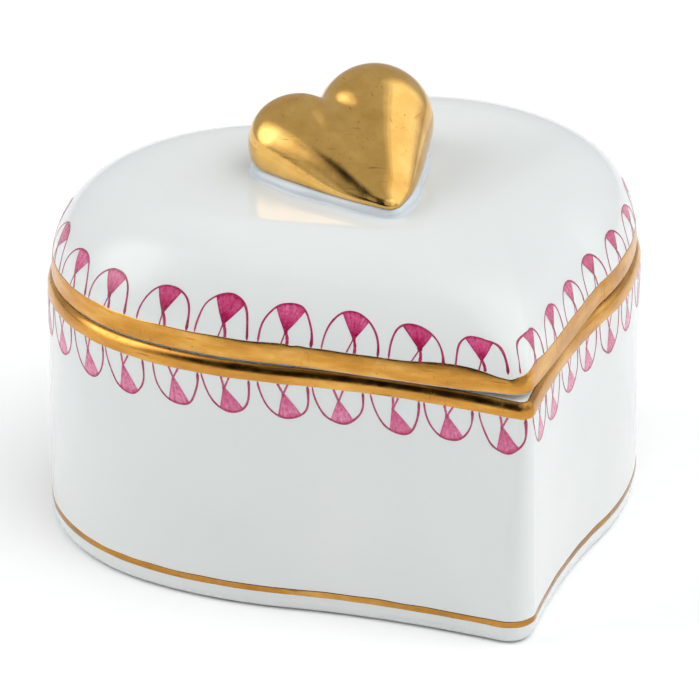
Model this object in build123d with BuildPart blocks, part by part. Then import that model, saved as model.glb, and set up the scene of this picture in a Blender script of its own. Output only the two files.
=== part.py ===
"""Heart-shaped porcelain trinket box with a lift-off lid and a gilded heart knob.

The box stands on its foot at Z = 0 and is centred on X = 0, Y = 0.
The tip of the heart points along -Y, and the two lobes are side by side at +Y.
All sizes are in millimetres.
"""

import os
from math import cos, degrees, pi, radians, sin, sqrt, tan

from build123d import *

os.makedirs("parts", exist_ok=True)

# ---- Driving dimensions -----------------------------------------------------

# Plan outline of the rim, the widest level of the box.
HALF_WIDTH = 33.0
SHOULDER_Y = -14.55  # where each flank meets its shoulder arc
SHOULDER_HEADING = 37.6  # direction of the outline there, in degrees from +X
LOBE_ARCS = ((43.8, 21.1), (24.3, 74.3), (19.5, 76.8))  # (radius, turn in degrees)

# Heart tips: (Y of the sharp corner, flank heading in degrees, rounding radius).
FOOT_TIP = (-33.8, 51.0, 3.0)
RIM_TIP = (-33.6, 50.0, 1.5)
LID_TIP = (-32.75, 45.5, 2.0)
COLLAR_TIP_RADIUS = 2.3
INSIDE_TIP_RADIUS = 2.0

# Heights above the table.
FOOT_RECESS = 1.0
FLOOR_TOP = 4.0
FOOT_LINE_BOTTOM = 2.1
FOOT_LINE_TOP = 2.8
RIM_GILDING_BOTTOM = 26.4
BASE_TOP = 28.15
COLLAR_TOP = 31.0
LID_BOTTOM = 28.25
LID_GILDING_TOP = 30.6
LID_TOP = 39.55
LID_HOLLOW_SPRING = 31.4  # where the hollow under the lid starts to curve in
LID_HOLLOW_TOP = 37.0

# Wall build-up, all measured inwards from the rim outline.
LID_INSET = 0.45
LID_WALL = 2.0
COLLAR_CLEARANCE = 0.3
COLLAR_THICKNESS = 1.4
BASE_WALL = 3.2
THROAT_BOTTOM = 23.0  # the wall thickens from here up to carry the collar
THROAT_TOP = 26.0
FOOT_RING_WIDTH = 3.4

# Roundings and the dome.
FOOT_ROUNDING = 1.4
RIM_ROUNDING = 0.7
DOME_INSET = 12.75  # how far the dome draws in by its flat crown
DOME_POWER = 2.3  # exponent of the superellipse of its profile
HOLLOW_INSET = 9.5
HOLLOW_POWER = 2.0
DOME_SLICES = 7

# Fired gilding, laid into the porcelain so that the surfaces stay flush.
GILDING_DEPTH = 0.25
GILDING_LIP = 0.9  # how far the rim gilding turns in over the top edge

# Heart knob: each lobe tapers from a ball to the tip's ball, and all are cut flat below.
# The knob is set by hand, a little left of centre and slightly turned.
KNOB_LEFT_LOBE = (-6.2, 8.8, 42.7)
KNOB_LEFT_RADIUS = 5.35
KNOB_RIGHT_LOBE = (2.7, 8.5, 43.6)
KNOB_RIGHT_RADIUS = 6.35
KNOB_TIP = (-2.75, -6.55, 38.9)
KNOB_TIP_RADIUS = 1.95
KNOB_BOTTOM = 40.4
PAD_INSET = 0.2  # how far the slip pad stays inside the knob's flat underside


# ---- Shared outline functions -----------------------------------------------


def heart(inset, tip):
    """Heart face: the rim outline drawn in by inset, with its own tip."""
    corner_y, tip_heading, tip_radius = tip
    heading = radians(SHOULDER_HEADING)

    # The shoulder's X follows from the half width.
    to_widest = 0.0
    to_cleft = 0.0
    for radius, turn in LOBE_ARCS:
        next_heading = heading + radians(turn)
        if heading < pi / 2 < next_heading:
            to_widest = to_cleft + radius * (1 - sin(heading))
        to_cleft += radius * (sin(next_heading) - sin(heading))
        heading = next_heading
    shoulder_x = HALF_WIDTH - to_widest

    # The cleft arc is centred on X = 0, outside the heart.
    cleft_turn = heading - pi
    cleft_radius = (shoulder_x + to_cleft) / sin(cleft_turn) + inset

    slope = radians(SHOULDER_HEADING)
    shoulder_tangent = (cos(slope), sin(slope))
    shoulder = (shoulder_x - inset * sin(slope), SHOULDER_Y + inset * cos(slope))

    with BuildLine() as outline:
        lowest = (0, corner_y + tip_radius * (1 / cos(radians(tip_heading)) - 1))
        tip_arc = JernArc(lowest, (1, 0), tip_radius, tip_heading)
        flank_start = tip_arc @ 1

        # The flank's middle control point is where its two end tangents cross.
        ahead = tan(radians(tip_heading))
        behind = tan(slope)
        meet_x = shoulder[1] - flank_start.Y + ahead * flank_start.X - behind * shoulder[0]
        meet_x /= ahead - behind
        meet_y = flank_start.Y + ahead * (meet_x - flank_start.X)
        Bezier(flank_start, (meet_x, meet_y), shoulder)

        end, tangent = shoulder, shoulder_tangent
        for radius, turn in LOBE_ARCS:
            arc = JernArc(end, tangent, radius - inset, turn)
            end, tangent = arc @ 1, arc % 1
        JernArc(end, tangent, cleft_radius, -degrees(cleft_turn))
        mirror(about=Plane.YZ)
    make_face(outline.edges())


def drawn_in(tip, depth, radius):
    """The tip of an outline that runs depth inside another, with a new rounding."""
    corner_y, heading, _ = tip
    return (corner_y + depth / cos(radians(heading)), heading, radius)


def dome_step(step, bottom, top, inset, power):
    """Height and scale of one slice of a dome with a superellipse profile."""
    angle = step / DOME_SLICES * pi / 2
    rise = sin(angle) ** (2 / power)
    draw_in = inset * (1 - max(cos(angle), 0) ** (2 / power))
    return bottom + (top - bottom) * rise, 1 - draw_in / HALF_WIDTH


# ---- Base: porcelain cup with a foot ring and a locating collar ---------------

LID_HOLLOW_INSET = LID_INSET + LID_WALL
LID_HOLLOW_TIP = drawn_in(LID_TIP, LID_WALL, INSIDE_TIP_RADIUS)
COLLAR_OUTSIDE = LID_HOLLOW_INSET + COLLAR_CLEARANCE
COLLAR_INSIDE = COLLAR_OUTSIDE + COLLAR_THICKNESS
COLLAR_OUTSIDE_TIP = drawn_in(LID_HOLLOW_TIP, COLLAR_CLEARANCE, COLLAR_TIP_RADIUS)
COLLAR_INSIDE_TIP = drawn_in(COLLAR_OUTSIDE_TIP, COLLAR_THICKNESS, INSIDE_TIP_RADIUS)
CAVITY_TIP = drawn_in(FOOT_TIP, BASE_WALL, INSIDE_TIP_RADIUS)
FOOT_RECESS_TIP = drawn_in(FOOT_TIP, FOOT_RING_WIDTH, INSIDE_TIP_RADIUS)

with BuildPart() as base_blank:
    with BuildSketch(Plane.XY):
        heart(0, FOOT_TIP)
    with BuildSketch(Plane.XY.offset(BASE_TOP)):
        heart(0, RIM_TIP)
    loft(ruled=True)
    fillet(base_blank.faces().sort_by(Axis.Z)[0].edges(), radius=FOOT_ROUNDING)
    fillet(base_blank.faces().sort_by(Axis.Z)[-1].edges(), radius=RIM_ROUNDING)

with BuildPart() as foot_line_gilding:
    add(base_blank.part)
    split(bisect_by=Plane.XY.offset(FOOT_LINE_TOP), keep=Keep.BOTTOM)
    split(bisect_by=Plane.XY.offset(FOOT_LINE_BOTTOM), keep=Keep.TOP)
    with BuildSketch(Plane.XY.offset(FOOT_LINE_BOTTOM)):
        heart(GILDING_DEPTH, drawn_in(FOOT_TIP, GILDING_DEPTH, FOOT_TIP[2]))
    extrude(amount=FOOT_LINE_TOP - FOOT_LINE_BOTTOM, mode=Mode.SUBTRACT)

with BuildPart() as base_rim_gilding:
    add(base_blank.part)
    split(bisect_by=Plane.XY.offset(RIM_GILDING_BOTTOM), keep=Keep.TOP)
    with BuildSketch(Plane.XY.offset(RIM_GILDING_BOTTOM)):
        heart(GILDING_DEPTH, drawn_in(RIM_TIP, GILDING_DEPTH, RIM_TIP[2]))
    extrude(amount=BASE_TOP - RIM_GILDING_BOTTOM - GILDING_DEPTH, mode=Mode.SUBTRACT)
    with BuildSketch(Plane.XY.offset(RIM_GILDING_BOTTOM)):
        heart(GILDING_LIP, drawn_in(RIM_TIP, GILDING_LIP, RIM_TIP[2]))
    extrude(amount=BASE_TOP - RIM_GILDING_BOTTOM, mode=Mode.SUBTRACT)

with BuildPart() as base_body:
    add(base_blank.part)

    # Collar that the lid drops over.
    with BuildSketch(Plane.XY.offset(BASE_TOP)):
        heart(COLLAR_OUTSIDE, COLLAR_OUTSIDE_TIP)
    extrude(amount=COLLAR_TOP - BASE_TOP)

    # Cavity: straight lower walls, a tapered throat, then the collar's bore.
    with BuildSketch(Plane.XY.offset(FLOOR_TOP)):
        heart(BASE_WALL, CAVITY_TIP)
    extrude(amount=THROAT_BOTTOM - FLOOR_TOP, mode=Mode.SUBTRACT)
    with BuildSketch(Plane.XY.offset(THROAT_BOTTOM)):
        heart(BASE_WALL, CAVITY_TIP)
    with BuildSketch(Plane.XY.offset(THROAT_TOP)):
        heart(COLLAR_INSIDE, COLLAR_INSIDE_TIP)
    loft(ruled=True, mode=Mode.SUBTRACT)
    with BuildSketch(Plane.XY.offset(THROAT_TOP)):
        heart(COLLAR_INSIDE, COLLAR_INSIDE_TIP)
    extrude(amount=COLLAR_TOP - THROAT_TOP, mode=Mode.SUBTRACT)

    # Recessed underside inside the foot ring.
    with BuildSketch(Plane.XY):
        heart(FOOT_RING_WIDTH, FOOT_RECESS_TIP)
    extrude(amount=FOOT_RECESS, mode=Mode.SUBTRACT)

    # Beds for the gilding.
    add(foot_line_gilding.part, mode=Mode.SUBTRACT)
    add(base_rim_gilding.part, mode=Mode.SUBTRACT)

# ---- Lid: domed shell that drops over the collar ------------------------------

with BuildPart() as lid_blank:
    for step in range(DOME_SLICES + 1):
        height, size = dome_step(step, LID_BOTTOM, LID_TOP, DOME_INSET, DOME_POWER)
        with BuildSketch(Plane.XY.offset(height)):
            heart(LID_INSET, LID_TIP)
            scale(by=size)
    loft()

with BuildPart() as lid_rim_gilding:
    add(lid_blank.part)
    split(bisect_by=Plane.XY.offset(LID_GILDING_TOP), keep=Keep.BOTTOM)
    with BuildSketch(Plane.XY.offset(LID_BOTTOM)):
        heart(
            LID_INSET + 2 * GILDING_DEPTH,
            drawn_in(LID_TIP, 2 * GILDING_DEPTH, LID_TIP[2]),
        )
    extrude(amount=LID_GILDING_TOP - LID_BOTTOM, mode=Mode.SUBTRACT)

with BuildPart() as lid_shell:
    add(lid_blank.part)
    with BuildSketch(Plane.XY.offset(LID_BOTTOM)):
        heart(LID_HOLLOW_INSET, LID_HOLLOW_TIP)
    extrude(amount=LID_HOLLOW_SPRING - LID_BOTTOM, mode=Mode.SUBTRACT)
    for step in range(DOME_SLICES + 1):
        height, size = dome_step(
            step, LID_HOLLOW_SPRING, LID_HOLLOW_TOP, HOLLOW_INSET, HOLLOW_POWER
        )
        with BuildSketch(Plane.XY.offset(height)):
            heart(LID_HOLLOW_INSET, LID_HOLLOW_TIP)
            scale(by=size)
    loft(mode=Mode.SUBTRACT)
    add(lid_rim_gilding.part, mode=Mode.SUBTRACT)

# ---- Knob ---------------------------------------------------------------------

KNOB_LOBES = (
    (Vector(KNOB_LEFT_LOBE), KNOB_LEFT_RADIUS),
    (Vector(KNOB_RIGHT_LOBE), KNOB_RIGHT_RADIUS),
)
KNOB_POINT = Vector(KNOB_TIP)


def pad_radius(centre, radius):
    """Radius of a ball's section at the knob's underside, less the pad's inset."""
    return sqrt(radius**2 - (centre.Z - KNOB_BOTTOM) ** 2) - PAD_INSET


with BuildPart() as knob_heart:
    for lobe_centre, lobe_radius in KNOB_LOBES:
        along = KNOB_POINT - lobe_centre
        profile_plane = Plane(lobe_centre, x_dir=along, z_dir=along.cross(Vector(0, 0, 1)))
        with BuildSketch(profile_plane):
            Circle(lobe_radius)
            with Locations((along.length, 0)):
                Circle(KNOB_TIP_RADIUS)
            make_hull()
            split(bisect_by=Plane.XZ, keep=Keep.TOP)
        revolve(axis=Axis(lobe_centre, along))
    with BuildSketch(Plane.XY.offset(KNOB_BOTTOM)):
        Rectangle(HALF_WIDTH, HALF_WIDTH)
    extrude(amount=-HALF_WIDTH, mode=Mode.SUBTRACT)

with BuildPart() as knob_pad:
    for lobe_centre, lobe_radius in KNOB_LOBES:
        with BuildSketch(Plane.XY.offset(LID_TOP)):
            with Locations((lobe_centre.X, lobe_centre.Y)):
                Circle(pad_radius(lobe_centre, lobe_radius))
            with Locations((KNOB_POINT.X, KNOB_POINT.Y)):
                Circle(pad_radius(KNOB_POINT, KNOB_TIP_RADIUS))
            make_hull()
        extrude(amount=KNOB_BOTTOM - LID_TOP)

# ---- Labels and files -----------------------------------------------------------

PIECES = {
    "base_body": base_body.part,
    "base_rim_gilding": base_rim_gilding.part,
    "foot_line_gilding": foot_line_gilding.part,
    "lid_shell": lid_shell.part,
    "lid_rim_gilding": lid_rim_gilding.part,
    "knob_pad": knob_pad.part,
    "knob_heart": knob_heart.part,
}
for node, piece in PIECES.items():
    piece.label = node
    export_step(piece, f"parts/{node}.step")
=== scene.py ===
"""Looks of the heart-shaped porcelain trinket box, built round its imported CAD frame."""

from math import cos, pi, radians, sin, tan

import bmesh
import bpy
import numpy as np
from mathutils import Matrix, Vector


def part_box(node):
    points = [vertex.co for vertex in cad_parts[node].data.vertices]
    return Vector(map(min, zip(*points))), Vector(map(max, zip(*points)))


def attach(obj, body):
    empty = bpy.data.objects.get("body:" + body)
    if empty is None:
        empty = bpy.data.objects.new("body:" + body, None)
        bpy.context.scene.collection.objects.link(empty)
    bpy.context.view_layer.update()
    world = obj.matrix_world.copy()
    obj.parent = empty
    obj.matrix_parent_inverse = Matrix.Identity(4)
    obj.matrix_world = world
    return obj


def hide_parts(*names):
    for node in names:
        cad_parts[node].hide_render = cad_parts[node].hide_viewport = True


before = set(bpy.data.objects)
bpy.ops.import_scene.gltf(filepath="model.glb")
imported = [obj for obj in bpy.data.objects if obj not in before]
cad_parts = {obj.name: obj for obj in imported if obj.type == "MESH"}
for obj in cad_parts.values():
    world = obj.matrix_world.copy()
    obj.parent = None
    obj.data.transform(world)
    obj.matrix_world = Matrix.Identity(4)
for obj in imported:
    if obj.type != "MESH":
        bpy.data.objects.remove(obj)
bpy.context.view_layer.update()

MM = 0.001
rng = np.random.default_rng(7)

# ---- Sizes in millimetres ----


def box_mm(node):
    """Lowest and highest corners of a CAD node, in millimetres."""
    low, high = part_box(node)
    return np.array(low) / MM, np.array(high) / MM


HALF_WIDTH = box_mm("base_body")[1][0]
COLLAR_TOP = box_mm("base_body")[1][2]
FOOT_LINE_BOTTOM = box_mm("foot_line_gilding")[0][2]
FOOT_LINE_TOP = box_mm("foot_line_gilding")[1][2]
RIM_GILDING_BOTTOM = box_mm("base_rim_gilding")[0][2]
BASE_TOP = box_mm("base_rim_gilding")[1][2]
LID_BOTTOM = box_mm("lid_rim_gilding")[0][2]
LID_GILDING_TOP = box_mm("lid_rim_gilding")[1][2]
LID_TOP = box_mm("knob_pad")[0][2]
KNOB_BOTTOM = box_mm("knob_heart")[0][2]

# The plan outline and the wall build-up, as the CAD part has them. An arc is
# (radius, turn), and a tip is (y of its corner, heading of its flank, radius).
SHOULDER_Y = -14.55
SHOULDER_HEADING = 37.6
LOBE_ARCS = ((43.8, 21.1), (24.3, 74.3), (19.5, 76.8))
FOOT_TIP = (-33.8, 51.0, 3.0)
RIM_TIP = (-33.6, 50.0, 1.5)
LID_TIP = (-32.75, 45.5, 2.0)
INSIDE_TIP_RADIUS = 2.0
COLLAR_TIP_RADIUS = 2.3
FOOT_RECESS = 1.0
FLOOR_TOP = 4.0
LID_HOLLOW_SPRING = 31.4
LID_HOLLOW_TOP = 37.0
LID_INSET = 0.45
LID_WALL = 2.0
COLLAR_CLEARANCE = 0.3
COLLAR_THICKNESS = 1.4
BASE_WALL = 3.2
THROAT_BOTTOM = 23.0
THROAT_TOP = 26.0
FOOT_RING_WIDTH = 3.4
DOME_INSET = 12.75
DOME_POWER = 2.3
HOLLOW_INSET = 9.5
HOLLOW_POWER = 2.0
KNOB_LOBES = (
    ((-6.2, 8.8, 42.7), 5.35),
    ((2.7, 8.5, 43.6), 6.35),
)
KNOB_POINT = ((-2.75, -6.55, 38.9), 1.95)

# Room that the porcelain leaves inside the CAD surface for gilding and enamel.
PAINT_ROOM = 0.06
GILDING_PROUD = 0.03
GILDING_TUCK = 0.02
GILDING_BEVEL = 0.8
ENAMEL_PROUD = 0.035
ENAMEL_EDGE = 0.008

FOOT_ROUNDING_UP = 1.57
FOOT_ROUNDING_IN = 1.31
RIM_ROUNDING_DOWN = 1.25
RIM_ROUNDING_IN = 0.7
LIP_ROUNDING = 0.35
DOME_START = LID_BOTTOM + LIP_ROUNDING + 0.1


# ---- Directions and blends ----


def towards(azimuth, elevation):
    """Unit vector from the box to a place given like a view."""
    a, e = radians(azimuth), radians(elevation)
    return Vector((sin(a) * cos(e), -cos(a) * cos(e), sin(e)))


def smooth_step(value, start, end):
    """0 before start, 1 after end and an even change between."""
    t = np.clip((value - start) / (end - start), 0, 1)
    return t * t * (3 - 2 * t)


def hump(place, centre, spread):
    """1 at the centre, falling off smoothly on both sides."""
    return np.exp(-(((place - centre) / spread) ** 2))


def quarter(steps):
    """Angles from 0 to a quarter turn."""
    return np.linspace(0, pi / 2, steps + 1)


# ---- Heart outline ----

TIP_STEPS = 10
FLANK_STEPS = 44
LOBE_STEPS = (22, 60, 60)
CLEFT_STEPS = 14


def arc_points(start, heading, radius, turn, steps):
    """Points after start on an arc that turns left, or right where turn is negative."""
    side = 1 if turn > 0 else -1
    headings = heading + turn * np.arange(1, steps + 1) / steps
    along_x = start[0] + side * radius * (np.sin(headings) - sin(heading))
    along_y = start[1] + side * radius * (cos(heading) - np.cos(headings))
    return np.column_stack((along_x, along_y))


def heart_loop(inset, tip):
    """Closed loop of the rim outline drawn in by inset, from the tip round by +X."""
    corner_y, tip_heading, tip_radius = tip
    slope, rise = radians(SHOULDER_HEADING), radians(tip_heading)
    heading, to_widest, to_cleft = slope, 0.0, 0.0
    for radius, turn in LOBE_ARCS:
        after = heading + radians(turn)
        if heading < pi / 2 < after:
            to_widest = to_cleft + radius * (1 - sin(heading))
        to_cleft += radius * (sin(after) - sin(heading))
        heading = after
    shoulder_x = HALF_WIDTH - to_widest
    cleft_turn = heading - pi
    cleft_radius = (shoulder_x + to_cleft) / sin(cleft_turn) + inset
    shoulder = np.array(
        (shoulder_x - inset * sin(slope), SHOULDER_Y + inset * cos(slope))
    )

    lowest = (0.0, corner_y + tip_radius * (1 / cos(rise) - 1))
    points = [np.array([lowest])]
    points.append(arc_points(lowest, 0.0, tip_radius, rise, TIP_STEPS))
    start = points[-1][-1]
    meet_x = shoulder[1] - start[1] + tan(rise) * start[0] - tan(slope) * shoulder[0]
    meet_x /= tan(rise) - tan(slope)
    meet = np.array((meet_x, start[1] + tan(rise) * (meet_x - start[0])))
    t = np.arange(1, FLANK_STEPS + 1)[:, None] / FLANK_STEPS
    points.append((1 - t) ** 2 * start + 2 * t * (1 - t) * meet + t**2 * shoulder)
    heading = slope
    for (radius, turn), steps in zip(LOBE_ARCS, LOBE_STEPS):
        end = points[-1][-1]
        points.append(arc_points(end, heading, radius - inset, radians(turn), steps))
        heading += radians(turn)
    end = points[-1][-1]
    points.append(arc_points(end, heading, cleft_radius, -cleft_turn, CLEFT_STEPS))
    half = np.vstack(points)
    other_half = half[-2:0:-1] * (-1, 1)
    return np.vstack((half, other_half))


def drawn_in(tip, depth, radius=None):
    """The tip of an outline that runs depth inside another."""
    corner_y, heading, tip_radius = tip
    if radius is None:
        radius = max(tip_radius - depth, 0.25)
    return (corner_y + depth / cos(radians(heading)), heading, radius)


LID_HOLLOW_INSET = LID_INSET + LID_WALL
LID_HOLLOW_TIP = drawn_in(LID_TIP, LID_WALL, INSIDE_TIP_RADIUS)
COLLAR_OUTSIDE = LID_HOLLOW_INSET + COLLAR_CLEARANCE
COLLAR_INSIDE = COLLAR_OUTSIDE + COLLAR_THICKNESS
COLLAR_OUTSIDE_TIP = drawn_in(LID_HOLLOW_TIP, COLLAR_CLEARANCE, COLLAR_TIP_RADIUS)
COLLAR_INSIDE_TIP = drawn_in(COLLAR_OUTSIDE_TIP, COLLAR_THICKNESS, INSIDE_TIP_RADIUS)
CAVITY_TIP = drawn_in(FOOT_TIP, BASE_WALL, INSIDE_TIP_RADIUS)
FOOT_RECESS_TIP = drawn_in(FOOT_TIP, FOOT_RING_WIDTH, INSIDE_TIP_RADIUS)

# ---- Surfaces: rings of points at rising heights ----


def ring(loop, height):
    """A closed loop lifted to a height, which is one number or one per point."""
    return np.column_stack((loop, np.broadcast_to(height, len(loop))))


def base_ring(height, inset=0.0):
    """Ring of the base's outer wall, a ruled skin between its foot and its rim."""
    inset = inset + PAINT_ROOM
    foot = heart_loop(inset, drawn_in(FOOT_TIP, inset))
    rim = heart_loop(inset, drawn_in(RIM_TIP, inset))
    share = np.broadcast_to(np.asarray(height) / BASE_TOP, len(foot))[:, None]
    return ring(foot * (1 - share) + rim * share, height)


def dome_slice(angle, bottom, top, inset, power):
    """Height of a superellipse dome at an angle of its profile, and how far it is drawn in."""
    rise = sin(angle) ** (2 / power)
    draw = inset * (1 - max(cos(angle), 0.0) ** (2 / power))
    return bottom + (top - bottom) * rise, draw


# Along the lid's flanks the dome is drawn in evenly, and round its lobes it is scaled.
LID_LOOP = heart_loop(LID_INSET + PAINT_ROOM, drawn_in(LID_TIP, PAINT_ROOM))
COUNT = len(LID_LOOP)
FLANKS_END_Y = -14.0
LOBES_START_Y = 8.0
LOBE_SHARE = smooth_step(LID_LOOP[:, 1], FLANKS_END_Y, LOBES_START_Y)
FLANK_POWER = 2.0
TIP_BLUNTING = 0.9
DRAW_STEPS = 40


def drawn_loop(inset, tip, draw):
    """An outline drawn in to a dome: offset along the flanks, scaled round the lobes."""
    offset = heart_loop(inset + draw, drawn_in(tip, draw, tip[2] + draw * TIP_BLUNTING))
    scaled = heart_loop(inset, tip) * (1 - draw / HALF_WIDTH)
    share = LOBE_SHARE[:, None]
    return offset * (1 - share) + scaled * share


DRAWN_LOOPS = np.array(
    [
        drawn_loop(LID_INSET + PAINT_ROOM, drawn_in(LID_TIP, PAINT_ROOM), draw)
        for draw in np.linspace(0, DOME_INSET, DRAW_STEPS + 1)
    ]
)


def lid_ring(height):
    """Ring of the lid's outer surface at a height, one number or one per point."""
    rise = np.clip((np.asarray(height) - LID_BOTTOM) / (LID_TOP - LID_BOTTOM), 0, 1)
    power = FLANK_POWER + (DOME_POWER - FLANK_POWER) * LOBE_SHARE
    angle = np.arcsin(rise ** (power / 2))
    step = (1 - np.cos(angle) ** (2 / power)) * DRAW_STEPS
    below = np.minimum(step.astype(int), DRAW_STEPS - 1)
    part = (step - below)[:, None]
    each = np.arange(COUNT)
    loop = DRAWN_LOOPS[below, each] * (1 - part) + DRAWN_LOOPS[below + 1, each] * part
    return ring(loop, height)


def towards_centre(outer, shares, centre_height):
    """Rings that close a surface towards its middle, up to the last before it."""
    rings = []
    for share in shares:
        inner = outer * (share, share, 1)
        inner[:, 2] = outer[:, 2] * share + centre_height * (1 - share)
        rings.append(inner)
    return rings


# ---- Mesh helpers ----


def grid_faces(rows, columns, wrap):
    """Quads between neighbouring rows of points."""
    faces = []
    last = columns if wrap else columns - 1
    for row in range(rows - 1):
        for column in range(last):
            beside = (column + 1) % columns
            low, high = row * columns, (row + 1) * columns
            faces.append((low + column, low + beside, high + beside, high + column))
    return faces


TIP = np.array((0.0, -32.5))
TIP_WARP_REACH = 6.0
LID_TIP_LIFT = 0.32
LID_WARP_HEIGHT = 7.0
RIM_TIP_SAG = 0.22
RIM_WARP_BOTTOM = 20.0


def fired(points, body):
    """Warp of the firing: at the tip the lid's lip has lifted and the base rim sagged."""
    points = np.array(points, dtype=float)
    from_tip = np.linalg.norm(points[:, :2] - TIP, axis=1)
    pull = hump(from_tip, 0, TIP_WARP_REACH)
    if body == "lid":
        depth = np.clip(1 - (points[:, 2] - LID_BOTTOM) / LID_WARP_HEIGHT, 0, 1)
        points[:, 2] += LID_TIP_LIFT * pull * depth
    else:
        depth = np.clip((points[:, 2] - RIM_WARP_BOTTOM) / (BASE_TOP - RIM_WARP_BOTTOM), 0, 1)
        points[:, 2] -= RIM_TIP_SAG * pull * depth
    return points


def make_piece(name, points, faces, material, body, stands_for=()):
    """A smooth-shaded mesh object in metres that rides on a body."""
    mesh = bpy.data.meshes.new(name)
    mesh.from_pydata((fired(points, body) * MM).tolist(), [], faces)
    mesh.validate()
    mesh.materials.append(material)
    mesh.polygons.foreach_set("use_smooth", [True] * len(mesh.polygons))
    mesh.update()
    piece = bpy.data.objects.new(name, mesh)
    bpy.context.scene.collection.objects.link(piece)
    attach(piece, body)
    if stands_for:
        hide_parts(*stands_for)
    return piece


def skin_from_rings(rings, start_centre=None, end_centre=None):
    """Points and faces of a skin through rings, closed to a point where one is given."""
    count = len(rings[0])
    points = list(np.vstack(rings))
    faces = grid_faces(len(rings), count, wrap=True)
    if start_centre is not None:
        points.append(np.array(start_centre))
        hub = len(points) - 1
        faces += [(hub, (i + 1) % count, i) for i in range(count)]
    if end_centre is not None:
        points.append(np.array(end_centre))
        hub = len(points) - 1
        last = (len(rings) - 1) * count
        faces += [(hub, last + i, last + (i + 1) % count) for i in range(count)]
    return np.array(points), faces


# ---- Materials ----


class Nodes:
    """Small helper that adds shader nodes and links them."""

    def __init__(self, name):
        self.material = bpy.data.materials.new(name)
        self.material.use_nodes = True
        self.tree = self.material.node_tree
        self.shader = self.tree.nodes["Principled BSDF"]
        self.where = self.add("ShaderNodeTexCoord").outputs["Object"]

    def add(self, kind, **settings):
        """A new node with its settings."""
        node = self.tree.nodes.new(kind)
        for key, value in settings.items():
            setattr(node, key, value)
        return node

    def link(self, source, target):
        """Joins an output to an input."""
        self.tree.links.new(source, target)

    def noise(self, size_mm, detail=3.0, roughness=0.5, stretch=(1, 1, 1)):
        """Noise whose features are about size_mm across."""
        mapping = self.add("ShaderNodeMapping")
        mapping.inputs["Scale"].default_value = stretch
        self.link(self.where, mapping.inputs["Vector"])
        noise = self.add("ShaderNodeTexNoise")
        noise.inputs["Scale"].default_value = 1 / (size_mm * MM)
        noise.inputs["Detail"].default_value = detail
        noise.inputs["Roughness"].default_value = roughness
        self.link(mapping.outputs["Vector"], noise.inputs["Vector"])
        return noise.outputs["Fac"]

    def ramp(self, factor, *stops):
        """Colour ramp of (position, colour) stops."""
        ramp = self.add("ShaderNodeValToRGB")
        elements = ramp.color_ramp.elements
        while len(elements) < len(stops):
            elements.new(1.0)
        for element, (position, colour) in zip(elements, stops):
            element.position = position
            element.color = (*colour, 1.0)
        self.link(factor, ramp.inputs["Fac"])
        return ramp.outputs["Color"]

    def remap(self, value, low, high, to_low, to_high):
        """Value mapped from one range to another, clamped."""
        node = self.add("ShaderNodeMapRange")
        node.inputs["From Min"].default_value = low
        node.inputs["From Max"].default_value = high
        node.inputs["To Min"].default_value = to_low
        node.inputs["To Max"].default_value = to_high
        self.link(value, node.inputs["Value"])
        return node.outputs["Result"]

    def math(self, operation, first, second):
        """One operation on two outputs."""
        node = self.add("ShaderNodeMath", operation=operation)
        self.link(first, node.inputs[0])
        self.link(second, node.inputs[1])
        return node.outputs["Value"]

    def mix(self, factor, first, second, blend="MIX"):
        """Mix of two colours, each an output or a plain colour."""
        node = self.add("ShaderNodeMix", data_type="RGBA", blend_type=blend)
        self.link(factor, node.inputs["Factor"])
        for socket, value in ((node.inputs[6], first), (node.inputs[7], second)):
            if isinstance(value, tuple):
                socket.default_value = (*value, 1.0)
            else:
                self.link(value, socket)
        return node.outputs[2]

    def bump(self, height, depth_mm, normal=None):
        """Bump of a given depth, on top of another normal."""
        node = self.add("ShaderNodeBump")
        node.inputs["Strength"].default_value = 1.0
        node.inputs["Distance"].default_value = depth_mm * MM
        self.link(height, node.inputs["Height"])
        if normal is not None:
            self.link(normal, node.inputs["Normal"])
        return node.outputs["Normal"]

    def finished(self, colour, roughness, normal=None):
        """The material, with these outputs on its shader."""
        self.link(colour, self.shader.inputs["Base Color"])
        self.link(roughness, self.shader.inputs["Roughness"])
        if normal is not None:
            self.link(normal, self.shader.inputs["Normal"])
        return self.material

    def set(self, **values):
        """Numbers and colours that are the same all over the surface."""
        for key, value in values.items():
            name = key.replace("_", " ")
            socket = next(s for s in self.shader.inputs if s.name.lower() == name)
            socket.default_value = value


SPECK_TONE = (0.42, 0.42, 0.42)
BRUSH_LINE_TONE = (0.9, 0.9, 0.9)
SCRATCH_TONE = (0.24, 0.12, 0.04)
# Dark brown that the gilding's colour is darkened towards: painted dark reflections on the bands,
# and a plain darkening on the foot line.
DARK_REFLECTION_AND_DARKENING_TONE = (0.17, 0.085, 0.03)
PIT_TONE = (0.16, 0.09, 0.03)
BRUSH_STRETCH = (0.25, 0.25, 2.2)
SCRATCH_STRETCHES = ((0.2, 0.2, 4.0), (3.0, 0.4, 0.3))


def glazed_porcelain(name, tones):
    """Clear glaze over white clay: faint clouds, tiny specks and a slight swell."""
    nodes = Nodes(name)
    nodes.set(ior=1.5, subsurface_weight=0.12)
    nodes.set(subsurface_radius=(1.0, 0.9, 0.85), subsurface_scale=0.0012)
    cloud = nodes.noise(22.0, 2.0)
    tone = nodes.ramp(cloud, (0.3, tones[0]), (0.7, tones[1]))
    specks = nodes.remap(nodes.noise(0.55, 1.0), 0.80, 0.86, 0.0, 0.6)
    colour = nodes.mix(specks, tone, SPECK_TONE)
    gloss = nodes.remap(nodes.noise(6.0), 0.3, 0.7, 0.06, 0.12)
    swell = nodes.bump(nodes.noise(9.0, 1.0), 0.035)
    return nodes.finished(colour, gloss, nodes.bump(nodes.noise(0.9, 2.0), 0.0012, swell))


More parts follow.
